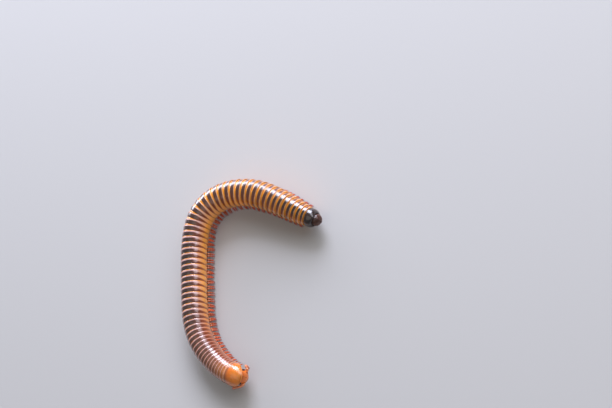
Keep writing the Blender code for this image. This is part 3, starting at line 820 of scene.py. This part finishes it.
for word, places in (("left", LEFT_ANTENNA), ("right", RIGHT_ANTENNA)):
    joints = place(head_axes, places)
    loops = [LINK_LOOPS] * 6 + [TIP_LOOPS]
    feeler = tube_skin(joints, LINK_HALVES, loops, head_axes[:3, 1], LINK_SIDES, 0.0)
    way = joints[-1] - joints[-2]
    way /= np.linalg.norm(way)
    turns = (np.arange(CONES) + 0.5) * 2 * math.pi / CONES
    skins = [feeler] + [
        turned_skin(joints[-1] + out * CONE_SPREAD * MM, way, CONE_PROFILE, CONE_SIDES)
        for out in spokes(way, turns, head_axes[:3, 0])
    ] + antenna_hairs(joints[1:], LINK_HALVES[1:])
    piece(f"antenna_{word}_links", skins, antenna_finish, "leg_cuticle", f"antenna_{word}")


# Mouthparts
# A cheek plate on each side, in two parts that a fold divides, carries the jaw
# inside. Under the head lies the flat lip plate, with its grooved sub-plates.

CHEEK_FOLD, CHEEK_FOLD_LEAN, CHEEK_FOLD_HALF, CHEEK_FOLD_DEPTH = -0.42, 0.25, 0.06, 0.05
CHEEK_RIM, CHEEK_RIM_HALF, CHEEK_RIM_DEPTH = -0.558, 0.05, 0.03
PLATE_GROOVE_DEPTH = 0.05
LIP_PLATE_AT, LIP_PLATE_HEIGHT = 5.05, 2.45
LIP_PLATE_HALF, LIP_PLATE_LAST = (1.70, 1.60, 1.15), 105.0


def cheek_mould(points, turns):
    """The fold between the cheek's two parts, and a narrow rim at its front."""
    y, z = points[..., 1], points[..., 2]
    fold = groove(z - CHEEK_FOLD + CHEEK_FOLD_LEAN * y, CHEEK_FOLD_HALF)
    rim = groove(y - CHEEK_RIM, CHEEK_RIM_HALF) * soft_step(z, CHEEK_FOLD, 0.0)
    # Their colour darkens in the fold and in the rim's groove: painted shade
    return -CHEEK_FOLD_DEPTH * fold - CHEEK_RIM_DEPTH * rim, fold + 0.7 * rim


def lip_plate_mould(points, turns):
    """The grooves between the lip plate's middle, side and front plates."""
    x, y = abs(points[..., 0]), points[..., 1]
    middle = groove(x, 0.04) * (y < -0.3)
    sides = groove(x - 0.28 - 0.30 * soft_step(y, -1.2, 1.6), 0.05)
    across = groove(y + 0.35 + 0.6 * x, 0.06) * (x < 0.45)
    # The colour darkens in these grooves: painted shade
    return -PLATE_GROOVE_DEPTH * (middle + sides + across), middle + sides + across


for side, word in ((1, "left"), (-1, "right")):
    centre = CHEEK_MIDDLE * (side, 1, 1)
    cheek = lobe_skin(
        head_axes, centre, CHEEK_HALF, (side, 0, 0), (0, 0, 1), 179.0, 96, 72, cheek_mould,
    )
    piece(f"cheek_{word}_plates", [cheek], head_finish, "head_cuticle", f"mandible_{word}")
lip_plate = lobe_skin(
    station(LIP_PLATE_AT, LIP_PLATE_HEIGHT, rolled=False), (0, 0, 0), LIP_PLATE_HALF,
    (0, 0, -1), (1, 0, 0), LIP_PLATE_LAST, 144, 60, lip_plate_mould,
)
piece("lip_plate_under", [lip_plate], head_finish, "head_cuticle", "gnathochilarium")


# Collar plate
# The collum, a domed saddle of golden brown chitin that slopes down on each side
# from over the crown to its lower hind corner. It is open below, where the soft
# neck shows, and its front edge has a narrow hem.

COLLAR_FRONT, COLLAR_HIND = 1.30, 6.85
COLLAR_FRONT_SHARE, COLLAR_DOME_END, COLLAR_DOME_POWER = 0.66, 4.9, 2.1
COLLAR_MIDDLE, COLLAR_RIM, COLLAR_RIM_TILT = 4.075, 0.29, 34.4
COLLAR_CORNER, COLLAR_END = 111.0, 114.5
COLLAR_THICKNESS, COLLAR_EDGE, COLLAR_INNER_EDGE = 0.24, 0.045, 0.05
HEM_AT, HEM_HALF, HEM_DEPTH = 0.30, 0.06, 0.035
COLLAR_ROWS = 240
COLLAR_STEPS = np.array((
    0.000, 0.004, 0.010, 0.020, 0.035, 0.055, 0.080, 0.11, 0.15, 0.20, 0.26, 0.33, 0.40, 0.48,
    0.56, 0.64, 0.72, 0.79, 0.85, 0.89, 0.92, 0.945, 0.965, 0.980, 0.990, 0.996, 1.000,
))
# Collar chitin: golden brown and waxed, with a dull band and a pale edge behind, as
# on the rings. It gives the eye the end of their long wet light.
COLLAR_CODES = [
    (0.0, "#de8430"), (0.45, "#de7c26"), (0.74, "#d47026"), (0.85, "#b06234"),
    (0.90, "#8c5236"), (0.97, "#d0946a"),
]
collar_finish = toned_chitin("collar_chitin_polished", COLLAR_CODES, "#6e3216", 0.22, 0.17, 0.6)


def on_body(distance, side, up):
    """Places in metres from distances along the body and millimetres aside and up in its axes."""
    x, y, heading = (np.interp(distance, SPINE[0], column) for column in SPINE[1:])
    roll = np.radians(along(ROLL, distance))
    left = side * np.cos(roll) - up * np.sin(roll)
    height = BELLY_LIFT + along(BODY_RADIUS, distance) + side * np.sin(roll) + up * np.cos(roll)
    return np.stack([x + left * np.sin(heading), y - left * np.cos(heading), height], -1) * MM


def collar_reach(distance):
    """The collar plate's outer half width, domed in to its front edge."""
    dome = np.clip((COLLAR_DOME_END - distance) / (COLLAR_DOME_END - COLLAR_FRONT), 0.0, 1.0)
    return (1 - (1 - COLLAR_FRONT_SHARE) * dome ** COLLAR_DOME_POWER) * along(BODY_RADIUS, distance)


search = np.linspace(COLLAR_FRONT, COLLAR_HIND, 400)
rim_height = COLLAR_RIM - (search - COLLAR_MIDDLE) * math.tan(math.radians(COLLAR_RIM_TILT))
distances, reaches, turns, seams_and_shade = [], [], [], []
for degrees in np.linspace(COLLAR_END, -COLLAR_END, COLLAR_ROWS):
    side, up = body_outline(np.radians(degrees))
    front = search[np.argmax(up * collar_reach(search) >= rim_height)]
    past_corner = max(0.0, abs(degrees) - COLLAR_CORNER) / (COLLAR_END - COLLAR_CORNER)
    corner = math.sqrt(1 - past_corner ** 2 * 0.98)
    middle = (front + COLLAR_HIND) / 2
    front, hind = middle - (middle - front) * corner, middle + (COLLAR_HIND - middle) * corner
    outer = front + (hind - front) * COLLAR_STEPS
    inner = outer[-2:0:-2]
    edge = np.minimum(outer - front, hind - outer)
    rounding = COLLAR_THICKNESS * 0.5 * corner * np.exp(-edge / COLLAR_EDGE)
    hem = groove(outer - front - HEM_AT, HEM_HALF) * corner
    inner_edge = np.minimum(inner - front, hind - inner)
    inner_drop = COLLAR_THICKNESS * corner * (1 - 0.5 * np.exp(-inner_edge / COLLAR_INNER_EDGE))
    distances.append(np.concatenate([outer, inner]))
    reaches.append(np.concatenate([
        collar_reach(outer) - rounding - HEM_DEPTH * hem, collar_reach(inner) - inner_drop,
    ]))
    turns.append(np.full(len(outer) + len(inner), degrees))
    # The hem's groove also darkens the colour: painted shade
    seams_and_shade.append(np.concatenate([hem, np.zeros(len(inner))]))
distances, reaches, turns = np.array(distances), np.array(reaches), np.array(turns)
side, up = body_outline(np.radians(turns))
ahead = (distances - COLLAR_FRONT) / (COLLAR_HIND - COLLAR_FRONT)
marks = {"run": ahead, "seam_and_shade": np.array(seams_and_shade), "tone": 0.0}
saddle = loft(on_body(distances, side * reaches, up * reaches), marks)
piece("collum_saddle", [saddle], collar_finish, "collar_cuticle", "collum")

NECK_PROFILE = [(3.2, 0.55), (3.9, 0.64), (4.6, 0.72), (5.3, 0.80), (6.1, 0.835), (7.3, 0.85)]
NECK_FOLD, NECK_FOLD_DEPTH, NECK_FOLD_SHARPNESS = 0.42, 0.06, 4
NECK_LOOPS, NECK_STEP = 70, 5.0
# Neck skin: soft, folded and unwaxed, brown and dull, with the collar plate's shade painted on it,
# darkest towards the head, and painted shade in its folds
NECK_CODES = [(0.0, "#6e3c22"), (1.0, "#9a5a34")]
neck_finish = toned_chitin("neck_skin_dull", NECK_CODES, "#3c1e12", 0.5, 0.12)
neck_front, neck_hind = NECK_PROFILE[0][0], NECK_PROFILE[-1][0]
neck_at = np.linspace(neck_front, neck_hind, NECK_LOOPS)[:, None]
folds = (np.cos(2 * math.pi * neck_at / NECK_FOLD) * 0.5 + 0.5) ** NECK_FOLD_SHARPNESS
reach = along(NECK_PROFILE, neck_at) * along(BODY_RADIUS, neck_at) - NECK_FOLD_DEPTH * folds
side, up = body_outline(np.radians(np.arange(0.0, 360.0, NECK_STEP)))
marks = {"run": (neck_at - neck_front) / (neck_hind - neck_front), "seam_and_shade": folds, "tone": 0.0}
neck = loft(on_body(neck_at, side * reach, up * reach), marks)
piece("collum_neck_skin", [neck], neck_finish, "collar_cuticle", "collum")


# Tail
# The last ring has no legs. Its back edge ends in a blunt point over the two
# bulging valves that close the gut.

TAIL_PROFILE = [
    (-0.70, 0.900), (-0.30, 0.925), (0.00, 0.950), (0.15, 0.975), (0.50, 0.992), (0.90, 1.000),
    (1.30, 0.985), (1.70, 0.950), (2.05, 0.885), (2.30, 0.820), (2.45, 0.768), (2.55, 0.720),
    (2.57, 0.695), (2.50, 0.670), (2.20, 0.760), (1.60, 0.860), (0.80, 0.900), (-0.66, 0.860),
]
TAIL_MIDDLE, TAIL_LENGTH = 1.2, 2.57
TAIL_POINT, TAIL_POINT_SPREAD, TAIL_POINT_GROWS = 0.38, 24.0, (1.3, 2.5)
# The telson wears the dark band nearly from end to end, and all the way round
TAIL_BAND, TAIL_ROUND = (0.25, 0.86), 0.25
VALVE_AT, VALVE_HALF, VALVE_SINK, VALVE_GAP = 2.85, (1.75, 1.55, 1.75), 0.1, 0.05
VALVE_RIM_AT, VALVE_RIM_HALF, VALVE_RIM_HEIGHT = 0.16, 0.10, 0.09
tail_half = along(BODY_RADIUS, BODY_END)
tail_axes = station(BODY_END + TAIL_MIDDLE)
side, up = body_outline(np.radians(RING_DEGREES))
rows, shares = [], []
for distance, half in TAIL_PROFILE:
    point = groove(FROM_BACK, TAIL_POINT_SPREAD) * soft_step(distance, *TAIL_POINT_GROWS)
    run = distance - TAIL_MIDDLE + TAIL_POINT * point
    reach = half * tail_half
    rows.append(np.stack([side * reach, run, up * reach], -1))
    shares.append(np.interp(distance, (0.0, TAIL_LENGTH), TAIL_BAND))
marks = {
    "ring_share": np.array(shares)[:, None],
    "back_to_belly": FROM_BACK / 180.0 * TAIL_ROUND,
    "head_to_tail": 1.0,
    "ring_tone": 0.0,
    "pore_distance": NO_PORE,
}
telson = loft(place(tail_axes, rows), marks, hoop=True)
piece("telson_ring", [telson], ring_finish, "ring_cuticle", "telson")


def valve_mould(points, turns):
    """The raised rim along the slit between the valves."""
    aside = abs(points[..., 0])
    edge = groove(aside - VALVE_RIM_AT, VALVE_RIM_HALF) * (points[..., 1] > 0)
    # A faint dark line at the outer foot of the rim: painted shade
    return VALVE_RIM_HEIGHT * edge, 0.25 * groove(aside - 0.34, 0.06)


# Valve chitin: dark brown, smooth and bulging, with one soft light on each valve
VALVE_CODES = [(0.0, "#6a3a22"), (0.5, "#5a3020"), (1.0, "#3f231a")]
valve_finish = toned_chitin("valve_chitin_polished", VALVE_CODES, "#1c0f0a", 0.26, 0.15)
valve_axes = station(BODY_END + VALVE_AT, BELLY_LIFT + tail_half - VALVE_SINK, rolled=False)
for side, word in ((1, "left"), (-1, "right")):
    points, faces, marks = lobe_skin(
        valve_axes, (0, 0, 0), VALVE_HALF, (0, 1, 0), (0, 0, 1), 150.0, 144, 80, valve_mould,
    )
    local = (points - valve_axes[:3, 3]) @ valve_axes[:3, :3]
    local[:, 0] = side * np.maximum(side * local[:, 0], VALVE_GAP / 2 * MM)
    lid = (place(valve_axes, local / MM), faces, marks)
    piece(f"valve_{word}_lid", [lid], valve_finish, "ring_cuticle", f"anal_valve_{word}")


# Floor, light and camera
# A plain sheet of pale, matt paper under the animal, in a pale room. Three softboxes
# on its left draw the long lights on its flank, by its head and along its tail half,
# and one overhead fills. The camera has the photograph's angle, turned with the animal.

FLOOR_HALF = 1.5
floor_mesh = bpy.data.meshes.new("floor")
floor_form = bmesh.new()
bmesh.ops.create_grid(floor_form, x_segments=1, y_segments=1, size=FLOOR_HALF)
floor_form.to_mesh(floor_mesh)
floor_form.free()
floor = bpy.data.objects.new("floor", floor_mesh)
bpy.context.scene.collection.objects.link(floor)
floor_finish, _, floor_shader = new_material("floor_paper_matt")
fill(floor_shader, {"Base Color": linear("#b6b4b0"), "Roughness": 0.75})
floor_mesh.materials.append(floor_finish)
bpy.context.scene.view_settings.view_transform = "Standard"


def softbox(name, way, distance, sizes, power, code):
    """A rectangular area light that shines on the animal from a direction."""
    way = Vector(way).normalized()
    light = bpy.data.lights.new(name, "AREA")
    light.shape, light.energy = "RECTANGLE", power
    light.size, light.size_y = sizes
    light.color = linear(code)[:3]
    made = bpy.data.objects.new(name, light)
    made.location = way * distance
    made.rotation_mode = "QUATERNION"
    made.rotation_quaternion = way.to_track_quat("Z", "Y")
    made.visible_camera = False
    bpy.context.scene.collection.objects.link(made)


softbox("side_softbox", (0.47, -0.54, 0.68), 0.80, (1.00, 0.42), 4.2, "#f4f4ff")
softbox("head_softbox", (0.87, -0.07, 0.47), 0.70, (0.44, 0.38), 7.5, "#e2e8ff")
softbox("tail_softbox", (0.78, 0.60, 0.18), 0.70, (0.62, 0.26), 4.2, "#e6ebff")
softbox("top_softbox", (-0.35, 0.15, 1.0), 0.80, (0.70, 0.70), 0.9, "#fff6ec")
room = bpy.data.worlds.new("pale_room")
room.use_nodes = True
fill(room.node_tree.nodes["Background"], {"Color": linear("#e9edf2"), "Strength": 0.24})
bpy.context.scene.world = room

CAMERA_PLACE = (-0.1459, -0.2437, 0.4030)
CAMERA_AZIMUTH, CAMERA_ELEVATION, CAMERA_ROLL = -36.3, 55.0, 60.0
camera = bpy.data.objects.new("camera", bpy.data.cameras.new("camera"))
camera.data.lens = 100.0
camera.data.sensor_width = 36.0
camera.data.clip_start, camera.data.clip_end = 0.01, 10.0
camera.location = CAMERA_PLACE
camera.rotation_mode = "QUATERNION"
tilted = Matrix.Rotation(math.radians(90.0 - CAMERA_ELEVATION), 4, "X")
aimed = Matrix.Rotation(math.radians(CAMERA_AZIMUTH), 4, "Z") @ tilted
rolled = aimed @ Matrix.Rotation(math.radians(-CAMERA_ROLL), 4, "Z")
camera.rotation_quaternion = rolled.to_quaternion()
bpy.context.scene.collection.objects.link(camera)
bpy.context.scene.camera = camera
